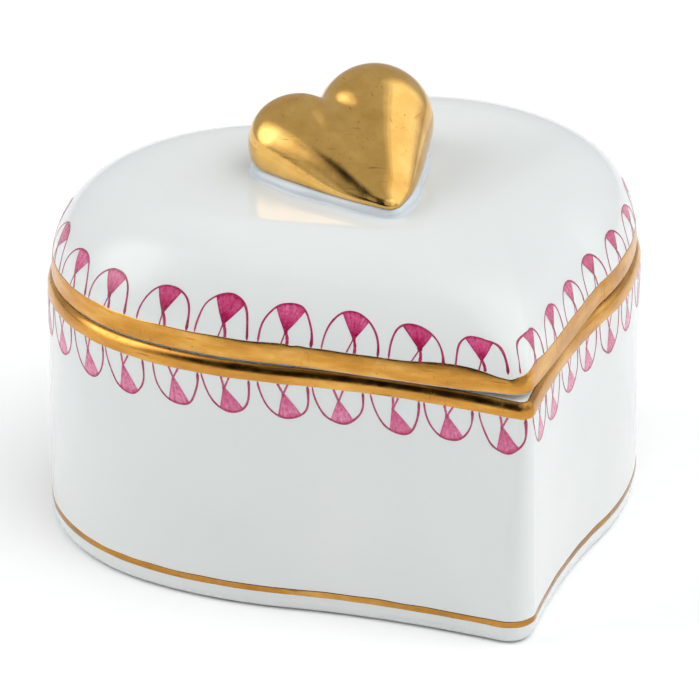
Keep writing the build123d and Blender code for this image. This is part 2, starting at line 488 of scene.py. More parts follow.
def unglazed_porcelain():
    """Bare fired clay: matt, off-white and gritty."""
    nodes = Nodes("unglazed_porcelain")
    nodes.set(ior=1.45, specular_ior_level=0.3)
    grit = nodes.noise(0.35, 4.0, 0.7)
    tone = nodes.ramp(grit, (0.35, (0.66, 0.64, 0.60)), (0.6, (0.80, 0.79, 0.76)))
    matt = nodes.remap(grit, 0.3, 0.7, 0.55, 0.8)
    return nodes.finished(tone, matt, nodes.bump(grit, 0.03))


def burnished_gold(name, tones, gloss, worn, stretch, wave_mm):
    """Fired gold: cloudy burnish, brush lines, scratches, painted dark reflections and darkening,
    and small dark pits.
    """
    nodes = Nodes(name)
    nodes.set(metallic=1.0)
    cloud = nodes.noise(3.5, 4.0, 0.6, stretch)
    tone = nodes.ramp(cloud, (0.3, tones[0]), (0.5, tones[1]), (0.7, tones[2]))
    # The sides of each brush line are a little darker than its middle and its surroundings.
    brushed = nodes.noise(0.6, 3.0, 0.6, stretch=BRUSH_STRETCH)
    lines = nodes.remap(brushed, 0.35, 0.65, 0.0, 1.0)
    darker = nodes.mix(lines, tone, BRUSH_LINE_TONE, "MULTIPLY")
    tone = nodes.mix(lines, darker, tone)
    for direction in SCRATCH_STRETCHES:
        scratches = nodes.remap(nodes.noise(0.8, 2.0, 0.5, direction), 0.685, 0.76, 0, worn)
        tone = nodes.mix(scratches, tone, SCRATCH_TONE)
    # Painted dark reflection and darkening: the colour goes towards a dark brown in noisy patches,
    # as much as the gilding's attribute asks.
    dark_reflection_and_darkening = nodes.add("ShaderNodeAttribute", attribute_name="dark_reflection_and_darkening").outputs["Fac"]
    patches = nodes.remap(nodes.noise(2.2, 4.0, 0.6), 0.3, 0.65, 0.45, 0.95)
    tone = nodes.mix(nodes.math("MULTIPLY", dark_reflection_and_darkening, patches), tone, DARK_REFLECTION_AND_DARKENING_TONE)
    pits = nodes.remap(nodes.noise(0.45, 2.0), 0.71, 0.77, 0.0, worn)
    colour = nodes.mix(pits, tone, PIT_TONE)
    smears = nodes.remap(nodes.noise(1.6, 4.0, 0.65), 0.3, 0.7, *gloss)
    waves = nodes.bump(nodes.noise(2.4, 2.0), wave_mm)
    grain = nodes.bump(brushed, 0.0035, waves)
    return nodes.finished(colour, smears, nodes.bump(nodes.noise(0.18, 2.0), 0.0012, grain))


def raspberry_enamel():
    """Fired enamel, pale where the brush left it thin and dark where it pooled."""
    nodes = Nodes("raspberry_enamel")
    nodes.set(ior=1.5, coat_weight=0.3, coat_roughness=0.08)
    pigment = nodes.add("ShaderNodeAttribute", attribute_name="pigment").outputs["Fac"]
    uneven = nodes.remap(nodes.noise(0.35, 3.0, 0.6), 0.3, 0.7, -0.12, 0.12)
    tone = nodes.ramp(
        nodes.math("ADD", pigment, uneven),
        (0.0, (0.78, 0.36, 0.50)),
        (0.35, (0.58, 0.085, 0.22)),
        (0.65, (0.38, 0.012, 0.085)),
        (1.0, (0.16, 0.002, 0.022)),
    )
    gloss = nodes.remap(nodes.noise(0.5), 0.3, 0.7, 0.18, 0.34)
    return nodes.finished(tone, gloss, nodes.bump(nodes.noise(0.2, 2.0), 0.004))


def pale_floor():
    """Matt white table top."""
    nodes = Nodes("pale_floor")
    nodes.set(specular_ior_level=0.1)
    tone = nodes.ramp(nodes.noise(60.0), (0.3, (0.97, 0.97, 0.97)), (0.7, (0.99, 0.99, 0.99)))
    return nodes.finished(tone, nodes.remap(nodes.noise(20.0), 0.3, 0.7, 0.75, 0.85))


PORCELAIN_TONES = ((0.695, 0.725, 0.718), (0.73, 0.752, 0.742))
# The slip pad is the same white porcelain, given a darker, bluer tone as painted shade under the
# knob.
SHADED_SLIP_TONES = ((0.60, 0.655, 0.70), (0.66, 0.70, 0.735))
PORCELAIN = glazed_porcelain("glazed_porcelain", PORCELAIN_TONES)
SHADED_SLIP = glazed_porcelain("shaded_slip_porcelain", SHADED_SLIP_TONES)
BISQUE = unglazed_porcelain()
BAND_TONES = ((0.47, 0.215, 0.04), (0.63, 0.30, 0.056), (0.77, 0.43, 0.108))
KNOB_TONES = ((0.66, 0.365, 0.09), (0.75, 0.44, 0.12), (0.84, 0.52, 0.16))
BAND_GOLD = burnished_gold("band_gold", BAND_TONES, (0.14, 0.30), 0.85, (0.45, 0.45, 2.0), 0.010)
KNOB_GOLD = burnished_gold("knob_gold", KNOB_TONES, (0.12, 0.19), 0.6, (1, 1, 1), 0.005)
ENAMEL = raspberry_enamel()

# ---- Porcelain base ----

RIM_SPRING = BASE_TOP - PAINT_ROOM - RIM_ROUNDING_DOWN
RECESS_CEILING_SHARE = 0.97
RECESS_SIDE = 0.9
FOOT_FLAT_INSETS = (2.9, 2.2, FOOT_ROUNDING_IN)
COLLAR_ROUNDING = 0.5
BORE_RING = 29.0
CAVITY_COVE = 2.2


def rolled_rim():
    """Rings over the rounded upper edge of the base."""
    rings = []
    for angle in quarter(10)[1:]:
        height = RIM_SPRING + RIM_ROUNDING_DOWN * sin(angle)
        rings.append(base_ring(height, RIM_ROUNDING_IN * (1 - cos(angle))))
    return rings


def recess_rings():
    """Rings from the middle of the recess under the base down to its mouth."""
    recess = heart_loop(FOOT_RING_WIDTH, FOOT_RECESS_TIP)
    ceiling = ring(recess * RECESS_CEILING_SHARE, FOOT_RECESS)
    rings = towards_centre(ceiling, (0.35, 0.7), FOOT_RECESS)
    rings.append(ceiling)
    for angle in quarter(4):
        share = RECESS_CEILING_SHARE + (1 - RECESS_CEILING_SHARE) * sin(angle)
        rings.append(ring(recess * share, FOOT_RECESS - RECESS_SIDE * (1 - cos(angle))))
    return rings


def outer_wall_rings():
    """Rings round the foot's outer edge, up the wall and over the rim."""
    rings = []
    for angle in quarter(8)[1:]:
        height = FOOT_ROUNDING_UP * (1 - cos(angle))
        rings.append(base_ring(height, FOOT_ROUNDING_IN * (1 - sin(angle))))
    for height in np.linspace(FOOT_ROUNDING_UP, RIM_SPRING, 30)[1:]:
        rings.append(base_ring(height))
    return rings + rolled_rim()


def collar_rings():
    """Rings from the seat up the collar, over its rounded top and down its bore."""
    outside = heart_loop(COLLAR_OUTSIDE, COLLAR_OUTSIDE_TIP)
    rings = []
    for height in (BASE_TOP - PAINT_ROOM, BASE_TOP + 0.3, COLLAR_TOP - COLLAR_ROUNDING):
        rings.append(ring(outside, height))
    middle = COLLAR_OUTSIDE + COLLAR_THICKNESS / 2
    for angle in np.linspace(0, pi, 9)[1:-1]:
        inset = middle - cos(angle) * COLLAR_THICKNESS / 2
        tip = drawn_in(COLLAR_OUTSIDE_TIP, inset - COLLAR_OUTSIDE, INSIDE_TIP_RADIUS)
        height = COLLAR_TOP - COLLAR_ROUNDING * (1 - sin(angle))
        rings.append(ring(heart_loop(inset, tip), height))
    bore = heart_loop(COLLAR_INSIDE, COLLAR_INSIDE_TIP)
    for height in (COLLAR_TOP - COLLAR_ROUNDING, BORE_RING, THROAT_TOP + 0.5):
        rings.append(ring(bore, height))
    return rings


def cavity_rings():
    """Rings down the throat and the cavity's wall, and over its floor to the middle."""
    bore = heart_loop(COLLAR_INSIDE, COLLAR_INSIDE_TIP)
    cavity = heart_loop(BASE_WALL, CAVITY_TIP)
    rings = []
    for angle in quarter(6):
        blend = (1 - cos(angle * 2)) / 2
        height = THROAT_TOP + (THROAT_BOTTOM - THROAT_TOP) * angle / (pi / 2)
        rings.append(ring(bore * (1 - blend) + cavity * blend, height))
    for height in np.linspace(THROAT_BOTTOM - 1, FLOOR_TOP + CAVITY_COVE, 8):
        rings.append(ring(cavity, height))
    for angle in quarter(6)[1:]:
        inset = BASE_WALL + CAVITY_COVE * (1 - cos(angle))
        tip = drawn_in(CAVITY_TIP, inset - BASE_WALL, INSIDE_TIP_RADIUS)
        height = FLOOR_TOP + CAVITY_COVE * (1 - sin(angle))
        rings.append(ring(heart_loop(inset, tip), height))
    return rings + towards_centre(rings[-1], (0.8, 0.55, 0.3, 0.1), FLOOR_TOP)


def leave_unglazed(piece, *bands):
    """Gives the faces between pairs of rings of a skin the unglazed material."""
    piece.data.materials.append(BISQUE)
    for start, end in bands:
        for index in range(start * COUNT, end * COUNT):
            piece.data.polygons[index].material_index = 1


def porcelain_base():
    """The cup in one glazed skin, with its foot and the lid's seat left unglazed."""
    rings = recess_rings()
    foot = (len(rings), len(rings) + len(FOOT_FLAT_INSETS) - 1)
    rings += [base_ring(0.0, inset) for inset in FOOT_FLAT_INSETS]
    rings += outer_wall_rings()
    seat = (len(rings) - 1, len(rings))
    rings += collar_rings() + cavity_rings()
    points, faces = skin_from_rings(rings, (0, 0, FOOT_RECESS), (0, 0, FLOOR_TOP))
    piece = make_piece(
        "porcelain_base", points, faces, PORCELAIN, "base", ("base_body",)
    )
    leave_unglazed(piece, foot, seat)


# ---- Porcelain lid ----

LIP_INSIDE_UP = 0.4
LIP_INSIDE_IN = 0.3
DOME_RINGS = 46


def hollow_rings():
    """Rings from the middle of the lid's hollow down to its lip."""
    vault = []
    for angle in quarter(14)[::-1]:
        height, draw = dome_slice(
            angle, LID_HOLLOW_SPRING, LID_HOLLOW_TOP, HOLLOW_INSET, HOLLOW_POWER
        )
        vault.append(ring(drawn_loop(LID_HOLLOW_INSET, LID_HOLLOW_TIP, draw), height))
    skirt = heart_loop(LID_HOLLOW_INSET, LID_HOLLOW_TIP)
    vault.append(ring(skirt, LID_BOTTOM + LIP_INSIDE_UP))
    return towards_centre(vault[0], (0.1, 0.3, 0.55, 0.8), LID_HOLLOW_TOP) + vault


def inner_lip_rings():
    """Rings round the inner edge of the lid's lip."""
    rings = []
    for angle in quarter(4)[1:]:
        inset = LID_HOLLOW_INSET - LIP_INSIDE_IN * (1 - cos(angle))
        tip = drawn_in(LID_TIP, inset - LID_INSET, INSIDE_TIP_RADIUS)
        height = LID_BOTTOM + LIP_INSIDE_UP * (1 - sin(angle))
        rings.append(ring(heart_loop(inset, tip), height))
    return rings


def outer_lip_ring(angle):
    """Ring at an angle of the rounding of the lip's outer edge."""
    inset = LIP_ROUNDING * (1 - sin(angle))
    outer = heart_loop(LID_INSET + PAINT_ROOM + inset, drawn_in(LID_TIP, PAINT_ROOM + inset))
    return ring(outer, LID_BOTTOM + LIP_ROUNDING * (1 - cos(angle)))


def dome_rings():
    """Rings up the dome, evenly spaced along its profile angle."""
    start_rise = (DOME_START - LID_BOTTOM) / (LID_TOP - LID_BOTTOM)
    start = float(np.arcsin(start_rise ** (DOME_POWER / 2)))
    rings = []
    for angle in np.linspace(start, pi / 2, DOME_RINGS):
        height, _ = dome_slice(angle, LID_BOTTOM, LID_TOP, DOME_INSET, DOME_POWER)
        rings.append(lid_ring(min(height, LID_TOP) - PAINT_ROOM * sin(angle)))
    return rings


def porcelain_lid():
    """The lid in one glazed skin, with the lip that it stands on left unglazed."""
    rings = hollow_rings()
    lip_start = len(rings) - 1
    rings += inner_lip_rings()
    lip_end = len(rings)
    rings += [outer_lip_ring(angle) for angle in quarter(6)]
    rings += dome_rings()
    crown = LID_TOP - PAINT_ROOM
    rings += towards_centre(rings[-1], (0.9, 0.75, 0.55, 0.35, 0.15), crown)
    points, faces = skin_from_rings(rings, (0, 0, LID_HOLLOW_TOP), (0, 0, crown))
    piece = make_piece(
        "porcelain_lid", points, faces, PORCELAIN, "lid", ("lid_shell",)
    )
    leave_unglazed(piece, (lip_start, lip_end))


# ---- Gilding ----


def wander(count, waves, size):
    """A smooth closed random line, such as a hand-drawn edge's wobble."""
    angle = np.arange(count) / count * 2 * pi
    line = np.zeros(count)
    for wave in waves:
        line += rng.normal(0, 1 / len(waves)) * np.cos(wave * angle + rng.uniform(0, 2 * pi))
    return line * size


def outward(rings, proud):
    """Rings moved out along the skin's normals by proud, one number per ring."""
    stack = np.array(rings)
    around = np.roll(stack, -1, axis=1) - np.roll(stack, 1, axis=1)
    up = np.gradient(stack, axis=0)
    normal = np.cross(around, up)
    normal /= np.linalg.norm(normal, axis=2, keepdims=True)
    return stack + normal * np.asarray(proud)[:, None, None]


def proud_profile(count):
    """Thickness along a gilded band: tucked under at its edges, proud between them."""
    proud = np.full(count, GILDING_PROUD)
    proud[[0, -1]] = -GILDING_TUCK
    proud[[1, -2]] = GILDING_PROUD * GILDING_BEVEL
    return proud


def gilding_piece(name, rings, body, node, dark_reflection_and_darkening):
    """A band of gold leaf, with a painted darkening from 0 to 1 for each of its points."""
    points, faces = skin_from_rings(list(outward(rings, proud_profile(len(rings)))))
    piece = make_piece(name, points, faces, BAND_GOLD, body, (node,))
    layer = piece.data.attributes.new("dark_reflection_and_darkening", "FLOAT", "POINT")
    layer.data.foreach_set("value", dark_reflection_and_darkening.ravel())


def round_distance(loop):
    """Distance of each point round a loop from its tip, negative on the -X side."""
    steps = np.linalg.norm(np.roll(loop, -1, axis=0) - loop, axis=1)
    distance = np.concatenate(([0], np.cumsum(steps)))
    return np.where(distance[:-1] > distance[-1] / 2, distance[:-1] - distance[-1], distance[:-1])


EDGE_WAVES = range(9, 60)
BAND_WANDER = 0.28
LINE_WANDER = 0.24
LINE_SPREAD = 0.04
AROUND = round_distance(LID_LOOP)


def base_rim_gilding():
    """The base's band, which turns in over the rim and has a painted dark reflection there on the
    -X flank.
    """
    low = RIM_GILDING_BOTTOM + wander(COUNT, EDGE_WAVES, BAND_WANDER)
    rings = []
    for share in (0.0, 0.04, 0.12, 0.4, 0.7, 1.0):
        rings.append(base_ring(low * (1 - share) + RIM_SPRING * share))
    straight = len(rings)
    rings += rolled_rim()
    rings.append(base_ring(BASE_TOP - PAINT_ROOM, RIM_ROUNDING_IN + 0.08))
    rolled = smooth_step(np.arange(len(rings)), straight + 1, straight + 5)
    # Painted dark reflection: the colour of the rolled rim is darkened on the -X flank.
    dark_reflection_and_darkening = rolled[:, None] * (0.85 * hump(AROUND, -14.0, 17.0))
    gilding_piece("gilded_base_rim", rings, "base", "base_rim_gilding", dark_reflection_and_darkening)


def foot_line():
    """The thin line above the foot, darkened a little all round and most along the +X flank."""
    low = FOOT_LINE_BOTTOM + wander(COUNT, EDGE_WAVES, LINE_WANDER) - LINE_SPREAD
    high = FOOT_LINE_TOP + wander(COUNT, EDGE_WAVES, LINE_WANDER) + LINE_SPREAD
    rings = []
    for share in (0.0, 0.08, 0.3, 0.7, 0.92, 1.0):
        rings.append(base_ring(low * (1 - share) + high * share))
    # The colour is darkened a little all round and most along the +X flank.
    foot_line_darkening = 0.35 + 0.4 * (smooth_step(AROUND, 0.0, 6.0) - smooth_step(AROUND, 40.0, 60.0))
    dark_reflection_and_darkening = np.broadcast_to(foot_line_darkening, (len(rings), COUNT))
    gilding_piece("gilded_foot_line", rings, "base", "foot_line_gilding", dark_reflection_and_darkening)


# Where the brush stroke of the lid's band began and ended: (height, place, reach).
BAND_SWELLS = ((0.35, -8.0, 4.0), (0.35, 2.5, 2.2), (-0.55, -1.6, 2.2))
LID_BAND_START = 57


def lid_rim_gilding():
    """The lid's band: thick where the brush stroke began, thin where it ended."""
    edge = wander(COUNT, EDGE_WAVES, BAND_WANDER)
    edge += sum(height * hump(AROUND, place, reach_mm) for height, place, reach_mm in BAND_SWELLS)
    angles = np.radians(np.linspace(LID_BAND_START, 90, 5))
    rings = [outer_lip_ring(angle) for angle in angles]
    high = LID_GILDING_TOP + edge
    for share in (0.0, 0.15, 0.3, 0.5, 0.7, 0.85, 0.94, 0.98, 1.0):
        rings.append(lid_ring(DOME_START * (1 - share) + high * share))
    upper = smooth_step(np.arange(len(rings)), len(rings) - 6, len(rings) - 3)
    # Painted dark reflection: the top of the band is darkened just to the -X side of the tip.
    dark_reflection_and_darkening = upper[:, None] * (0.95 * hump(AROUND, -4.0, 2.3))
    gilding_piece("gilded_lid_rim", rings, "lid", "lid_rim_gilding", dark_reflection_and_darkening)


# ---- Painted scallops ----

# The painter's scallops lean towards the tip on either side of it.
TIP_LEAN_REACH = 16.0
SKIN_ROWS = 90


class PaintedSkin:
    """Places points given as (distance round, distance from the gilding) on a skin."""

    def __init__(self, ring_at, start_height, end_height, tip_lean):
        self.tip_lean = tip_lean
        rings = np.array([ring_at(z) for z in np.linspace(start_height, end_height, SKIN_ROWS)])
        self.rings = np.concatenate((rings, rings[:, :1]), axis=1)
        steps_round = np.linalg.norm(np.diff(self.rings[0], axis=0), axis=1)
        self.round = np.concatenate(([0], np.cumsum(steps_round)))
        steps_up = np.linalg.norm(np.diff(self.rings, axis=0), axis=2)
        self.up = np.vstack((np.zeros(len(self.round)), np.cumsum(steps_up, axis=0)))
        self.length = self.round[-1]

    def lean(self, around):
        """How far the painting leans towards the tip for each unit that it rises."""
        from_tip = np.mod(around + self.length / 2, self.length) - self.length / 2
        distance = np.abs(from_tip)
        tip_lean = np.where(from_tip < 0, self.tip_lean[0], self.tip_lean[1])
        return tip_lean * from_tip / (distance + 1) * np.exp(-distance / TIP_LEAN_REACH)

    def place(self, around, away):
        """Points on the skin, from arrays of distances."""
        around = np.mod(around - self.lean(around) * away, self.length)
        column = np.interp(around, self.round, np.arange(len(self.round)))
        left = np.minimum(column.astype(int), len(self.round) - 2)
        part = (column - left)[:, None]
        strip = self.rings[:, left] * (1 - part) + self.rings[:, left + 1] * part
        lengths = self.up[:, left] * (1 - part[:, 0]) + self.up[:, left + 1] * part[:, 0]
        placed = np.empty((len(around), 3))
        for index, distance in enumerate(away):
            for axis in range(3):
                line = strip[:, index, axis]
                placed[index, axis] = np.interp(distance, lengths[:, index], line)
        return placed

    def place_proud(self, around, away, proud):
        """Points lifted off the skin by proud."""
        step = 0.05
        here = self.place(around, away)
        beside = self.place(around + step, away) - self.place(around - step, away)
        above = self.place(around, away + step) - self.place(around, np.maximum(away - step, 0))
        normal = np.cross(beside, above)
        normal /= np.linalg.norm(normal, axis=1, keepdims=True)
        outward_sign = np.sign(np.sum(normal[:, :2] * here[:, :2], axis=1))
        return here + normal * (outward_sign * proud)[:, None]


# Across a stroke: (place in widths, lift from 0 to 1, pigment more than its middle's).
STROKE_SECTION = (
    (-0.5, 0.0, 0.12),
    (-0.33, 0.75, 0.0),
    (0.0, 1.0, -0.05),
    (0.33, 0.75, 0.0),
    (0.5, 0.0, 0.12),
)


class Painting:
    """Gathers brush strokes and washes into one mesh."""

    def __init__(self, skin):
        self.skin = skin
        self.points, self.faces, self.pigment = [], [], []
        self.count = 0

    def sheet(self, around, away, proud, pigment):
        """A grid of painted points. All four are arrays of the same two-way shape."""
        rows, columns = around.shape
        placed = self.skin.place_proud(around.ravel(), away.ravel(), proud.ravel())
        self.points.append(placed)
        self.pigment.append(pigment.ravel())
        for face in grid_faces(rows, columns, wrap=False):
            self.faces.append(tuple(index + self.count for index in face))
        self.count += len(placed)

    def stroke(self, path, width, pigment):
        """A raised brush line along path, with a width and pigment at each point."""
        along = np.gradient(path, axis=0)
        along /= np.linalg.norm(along, axis=1, keepdims=True) + 1e-9
        across = np.column_stack((-along[:, 1], along[:, 0]))
        offsets, lifts, tones = np.array(STROKE_SECTION).T
        around = path[:, :1] + across[:, :1] * offsets * width[:, None]
        away = path[:, 1:] + across[:, 1:] * offsets * width[:, None]
        proud = ENAMEL_EDGE + (ENAMEL_PROUD - ENAMEL_EDGE) * lifts
        proud = np.broadcast_to(proud, around.shape)
        self.sheet(around, np.maximum(away, 0), proud, pigment[:, None] + tones)

    def piece(self, name, body):
        """The painting as one mesh, with its pigment at each point."""
        points = np.vstack(self.points)
        piece = make_piece(name, points, self.faces, ENAMEL, body)
        layer = piece.data.attributes.new("pigment", "FLOAT", "POINT")
        layer.data.foreach_set("value", np.clip(np.concatenate(self.pigment), 0, 1))


def ripple(waves, draw_size, place):
    """A random sum of waves along place, which runs from 0 to 1."""
    return sum(draw_size() * np.cos(2 * pi * (wave * place + rng.uniform())) for wave in waves)


def brush_width(count, thin, thick):
    """Uneven line width with a blob at either end, mostly bigger where it stops."""
    t = np.linspace(0, 1, count)
    wobble = ripple((1, 2, 3, 5), lambda: rng.normal(0, 0.05), t)
    blob = hump(t, 1, 0.05) * rng.uniform(0.2, 0.7)
    blob += hump(t, 0, 0.05) * rng.uniform(0.0, 0.35)
    ends = np.clip(np.minimum(t, 1 - t) / 0.015 + 0.45, 0, 1)
    return (thin + (thick - thin) * t) * (1 + wobble + blob) * ends


ARCH_POINTS = 64
ARCH_POWERS = (0.94, 0.86)
FAN_COLUMNS = 22
FAN_ROWS = 16
FAN_NECK = 0.045
FAN_PROUD = 0.008
POOL_POINTS = 12
LEG_POINTS = 22


class Scallop:
    """One arch with its fan, and the two lines that tie the fan to the gilding.

    Its x and y are in arch widths from its left foot and arch heights from the gilding.
    """

    def __init__(self, painting, middle, width, height, style):
        self.painting, self.style = painting, style
        self.jitter = rng.normal(0, 1, 10)
        self.width = width * (1 + 0.035 * self.jitter[0])
        self.height = height * (1 + 0.03 * self.jitter[1])
        self.left = middle - self.width / 2
        self.skew = style["skew"] + 0.03 * self.jitter[2]
        self.point_x = style["point"][0] + 0.025 * self.jitter[5]
        self.point_y = style["point"][1] + 0.03 * self.jitter[6]

    def path(self, x, y):
        """A path on the skin through points of the scallop."""
        return np.column_stack((self.left + x * self.width, y * self.height))

    def arch(self, t):
        """Point on the arch, from its left foot at 0 to its right foot at 1."""
        angle = pi * (1 - t)
        x = 0.5 + 0.5 * np.sign(np.cos(angle)) * np.abs(np.cos(angle)) ** ARCH_POWERS[0]
        y = np.sin(angle) ** ARCH_POWERS[1]
        return x + self.skew * y * (1 - 0.35 * x), y

    def paint_arch(self):
        """The arch's line, darkest where it ends."""
        t = np.linspace(0.0, 1.0, ARCH_POINTS)
        x, y = self.arch(t)
        bend = sum(
            rng.normal(0, 0.007) * np.sin(2 * pi * (k * t + rng.uniform())) for k in (1, 2, 3)
        )
        pigment = self.style["line"] + 0.10 * np.sin(pi * t) + 0.25 * hump(t, 1, 0.06)
        width = brush_width(ARCH_POINTS, self.style["thin"], self.style["thick"])
        self.painting.stroke(self.path(x + bend, y * (1 + bend)), width, pigment)

    def paint_fan(self):
        """The fan, which hangs from the arch's crown and narrows to a point."""
        style, jitter = self.style, self.jitter
        start, end = style["fan"][0] + 0.02 * jitter[3], style["fan"][1] + 0.02 * jitter[4]
        a = np.linspace(0, 1, FAN_COLUMNS)
        b = np.linspace(0, 1, FAN_ROWS)[:, None]
        top_x, top_y = self.arch(start + (end - start) * a)
        curve = b**1.08
        x = top_x * (1 - curve) + (self.point_x + (a - 0.5) * FAN_NECK) * curve
        y = top_y * (1 - b) + self.point_y * b
        hatch = ripple((3, 5, 7, 10), lambda: rng.uniform(0.4, 1.0), a)
        edges = 0.16 * hump(np.minimum(a, 1 - a), 0, 0.05)
        depth = style["wash"] + hatch * (0.055 * (1 - 0.4 * b)) + edges
        depth = depth + style["pool"] * b**2.2 + 0.20 * hump(b, 0, 0.09)
        depth = depth + 0.05 * rng.normal(0, 1)
        proud = np.full(x.shape, ENAMEL_EDGE + FAN_PROUD) + 0.006 * b
        self.painting.sheet(self.left + x * self.width, y * self.height, proud, depth)

    def paint_pool(self):
        """A small pool of enamel where the brush left the fan's point."""
        t = np.linspace(0, 1, POOL_POINTS)
        x = self.point_x + 0.01 * self.jitter[7] * t
        y = self.point_y + 0.10 - 0.16 * t
        width = self.style["knot"] * np.sin(pi * np.clip(t * 0.94 + 0.03, 0, 1)) ** 0.6
        pigment = np.full(POOL_POINTS, self.style["dark"])
        self.painting.stroke(self.path(x, y), width * (1 + 0.2 * self.jitter[8]), pigment)

    def paint_legs(self):
        """Two lines from the fan's point to the gilding, each of its own weight."""
        t = np.linspace(0, 1, LEG_POINTS)
        pigment = np.full(LEG_POINTS, self.style["dark"] - 0.15)
        for foot_x, line, sway in self.style["legs"]:
            foot = foot_x + 0.02 * rng.normal()
            x = self.point_x + (foot - self.point_x) * t + sway * np.sin(pi * t)
            leg = self.path(x, (self.point_y + 0.02) * (1 - t))
            self.painting.stroke(leg, brush_width(LEG_POINTS, line, line * 1.15), pigment)

    def paint(self):
        """All of the scallop's strokes, in the painter's order."""
        self.paint_arch()
        self.paint_fan()
        self.paint_pool()
        self.paint_legs()


LID_STYLE = {
    "count": 28, "shift": -0.6, "share": 0.83, "height": 4.4,
    "tip_lean": (0.60, 0.36), "shorter": 0.22, "skew": 0.0,
    "line": 0.60, "thin": 0.20, "thick": 0.26, "fan": (0.37, 0.68), "point": (0.53, 0.33),
    "wash": 0.38, "pool": 0.50, "knot": 0.42, "dark": 0.82,
    "legs": ((0.45, 0.15, 0.0), (0.57, 0.30, 0.015)),
}
BASE_STYLE = {
    "count": 34, "shift": 0.3, "share": 0.87, "height": 4.0,
    "tip_lean": (0.0, 0.0), "shorter": 0.0, "skew": 0.12,
    "line": 0.58, "thin": 0.20, "thick": 0.24, "fan": (0.36, 0.68), "point": (0.50, 0.30),
    "wash": 0.24, "pool": 0.24, "knot": 0.34, "dark": 0.66,
    "legs": ((0.42, 0.24, 0.0), (0.59, 0.20, 0.0)),
}

# Distances round from the tip between which the lid's scallops become shorter, and
# between which they become full height again.
SHORTER_FROM = (4.0, 16.0)
SHORTER_UNTIL = (36.0, 52.0)
SPACING_ERROR = 0.16


def painted_border(name, body, ring_at, start, end, style):
    """A row of scallops right round the heart, evenly spaced by eye."""
    painting = Painting(PaintedSkin(ring_at, start, end, style["tip_lean"]))
    pitch = painting.skin.length / style["count"]
    for index in range(style["count"]):
        middle = (index + 0.5) * pitch + style["shift"] + SPACING_ERROR * rng.normal()
        short = smooth_step(middle, *SHORTER_FROM) - smooth_step(middle, *SHORTER_UNTIL)
        height = style["height"] * (1 - style["shorter"] * short)
        Scallop(painting, middle, pitch * style["share"], height, style).paint()
    painting.piece(name, body)


# ---- Knob ----


def round_cone(points, start, end, start_radius, end_radius):
    """Distance from points to a ball that tapers along a line to a smaller ball."""
    axis = end - start
    length_sq = axis @ axis
    shrink = start_radius - end_radius
    slant_sq = length_sq - shrink**2
    rel = points - start
    along = rel @ axis
    beyond = along - length_sq
    side_sq = np.sum((rel * length_sq - along[:, None] * axis) ** 2, axis=1)
    lean = np.sign(shrink) * shrink**2 * side_sq
    distance = (np.sqrt(side_sq * slant_sq / length_sq) + along * shrink) / length_sq - start_radius
    at_start = np.sign(along) * slant_sq * along**2 * length_sq < lean
    distance = np.where(
        at_start, np.sqrt(side_sq + along**2 * length_sq) / length_sq - start_radius, distance
    )
    at_end = np.sign(beyond) * slant_sq * beyond**2 * length_sq > lean
    return np.where(
        at_end, np.sqrt(side_sq + beyond**2 * length_sq) / length_sq - end_radius, distance
    )


KNOB_CENTRE = np.array((-1.9, 5.2, 43.0))
KNOB_REACH = 20.0
REACH_HALVINGS = 34
CLEFT_BLEND = 0.9
CROWN_BLEND = 2.6
CROWN_BLEND_PLACE = 2.5
CROWN_BLEND_REACH = 4.0
CROWN_POINT = np.array((-4.6, 2.0, 46.3))
CROWN_FACES = (-50, 66)
CROWN_SOFTNESS = 1.6
KNOB_EDGE = 0.8


def smooth_min(first, second, blend):
    """The smaller of two distances, rounded off where they cross."""
    gap = np.maximum(blend - np.abs(first - second), 0) / blend
    return np.minimum(first, second) - gap**2 * blend / 4


def knob_distance(points):
    """Distance to the puffed heart: two tapering lobes, its crown eased, cut flat below."""
    lobes = [
        round_cone(points, np.array(centre), np.array(KNOB_POINT[0]), radius, KNOB_POINT[1])
        for centre, radius in KNOB_LOBES
    ]
    blend = CLEFT_BLEND + CROWN_BLEND * hump(points[:, 1], CROWN_BLEND_PLACE, CROWN_BLEND_REACH)
    heart = smooth_min(lobes[0], lobes[1], blend)
    above_crown = (points - CROWN_POINT) @ np.array(towards(*CROWN_FACES))
    heart = -smooth_min(-heart, -above_crown, CROWN_SOFTNESS)
    return -smooth_min(-heart, points[:, 2] - KNOB_BOTTOM, KNOB_EDGE)


def reach(centre, directions):
    """How far the knob's surface is from its centre in each direction."""
    near, far = np.zeros(len(directions)), np.full(len(directions), KNOB_REACH)
    for _ in range(REACH_HALVINGS):
        middle = (near + far) / 2
        inside = knob_distance(centre + directions * middle[:, None]) < 0
        near, far = np.where(inside, middle, near), np.where(inside, far, middle)
    return near


def gilded_knob():
    """The puffed heart, as a ball whose every point is moved to the heart's surface."""
    ball = bmesh.new()
    bmesh.ops.create_icosphere(ball, subdivisions=6, radius=1.0)
    directions = np.array([vertex.co[:] for vertex in ball.verts])
    directions /= np.linalg.norm(directions, axis=1, keepdims=True)
    faces = [tuple(vertex.index for vertex in face.verts) for face in ball.faces]
    ball.free()
    points = KNOB_CENTRE + directions * reach(KNOB_CENTRE, directions)[:, None]
    make_piece(
        "gilded_knob", points, faces, KNOB_GOLD, "lid", ("knob_heart",)
    )


PAD_POINTS = 240
PAD_BEAD = 0.75
PAD_TUCK = 0.55
PAD_FILLET = 0.45
PAD_FILLET_RISE = 0.3
PAD_INTO_KNOB = 0.2
PAD_INTO_LID = 0.05
PAD_OUTLINE_RISE = 0.5


